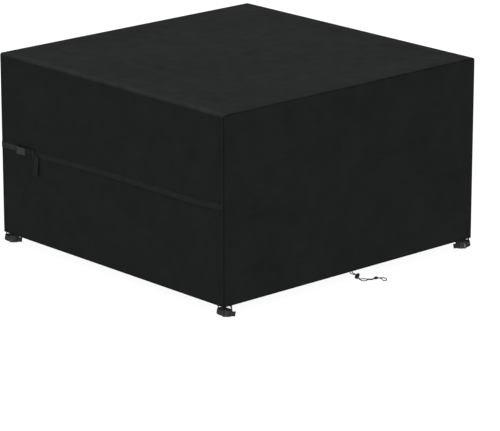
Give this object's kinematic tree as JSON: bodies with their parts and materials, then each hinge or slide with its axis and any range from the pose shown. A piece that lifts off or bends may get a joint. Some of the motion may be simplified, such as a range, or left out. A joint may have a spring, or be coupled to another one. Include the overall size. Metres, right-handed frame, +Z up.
{
  "type": "patio furniture cover",
  "caption": "Square fitted cloth cover for patio furniture, with a buckled webbing belt across its front, a buckled loop below each corner and a hem drawcord with a lock.",
  "frame": {"origin": "middle of the underside of the top, where it rests on the furniture", "axes": "+Z up, front with the belt at -Y, drawcord at +X"},
  "size_m": [1.4382, 1.369, 0.7967],
  "materials": {
    "cover_cloth": "coated woven polyester, dull",
    "belt_webbing": "woven webbing",
    "strap_webbing": "woven webbing",
    "buckle_plastic": "moulded plastic, satin",
    "lock_plastic": "moulded plastic, satin",
    "cord_braid": "round braided cord"
  },
  "bodies": {
    "cover": {"belt_buckle_plug": "buckle_plastic", "belt_buckle_socket": "buckle_plastic", "belt_long": "belt_webbing", "belt_short": "belt_webbing", "drawcord_bight": "cord_braid", "drawcord_inner": "cord_braid", "drawcord_knot": "cord_braid", "drawcord_outer": "cord_braid", "lock_barrel": "lock_plastic", "main_cloth": "cover_cloth", "side_cloth_left": "cover_cloth", "side_cloth_right": "cover_cloth", "strap_back_left_buckle_plug": "buckle_plastic", "strap_back_left_buckle_socket": "buckle_plastic", "strap_back_left_tab_a": "strap_webbing", "strap_back_left_tab_b": "strap_webbing", "strap_back_left_webbing": "strap_webbing", "strap_back_right_buckle_plug": "buckle_plastic", "strap_back_right_buckle_socket": "buckle_plastic", "strap_back_right_tab_a": "strap_webbing", "strap_back_right_tab_b": "strap_webbing", "strap_back_right_webbing": "strap_webbing", "strap_front_left_buckle_plug": "buckle_plastic", "strap_front_left_buckle_socket": "buckle_plastic", "strap_front_left_tab_a": "strap_webbing", "strap_front_left_tab_b": "strap_webbing", "strap_front_left_webbing": "strap_webbing", "strap_front_right_buckle_plug": "buckle_plastic", "strap_front_right_buckle_socket": "buckle_plastic", "strap_front_right_tab_a": "strap_webbing", "strap_front_right_tab_b": "strap_webbing", "strap_front_right_webbing": "strap_webbing"},
    "button": {"lock_button": "lock_plastic"}
  },
  "joints": [
    {"name": "lock_press", "type": "slide", "parent": "cover", "child": "button", "axis": [0, -0.6919, -0.722], "range_m": [0, 0.004], "stiffness_N_per_m": 400, "springref_m": -0.001}
  ]
}
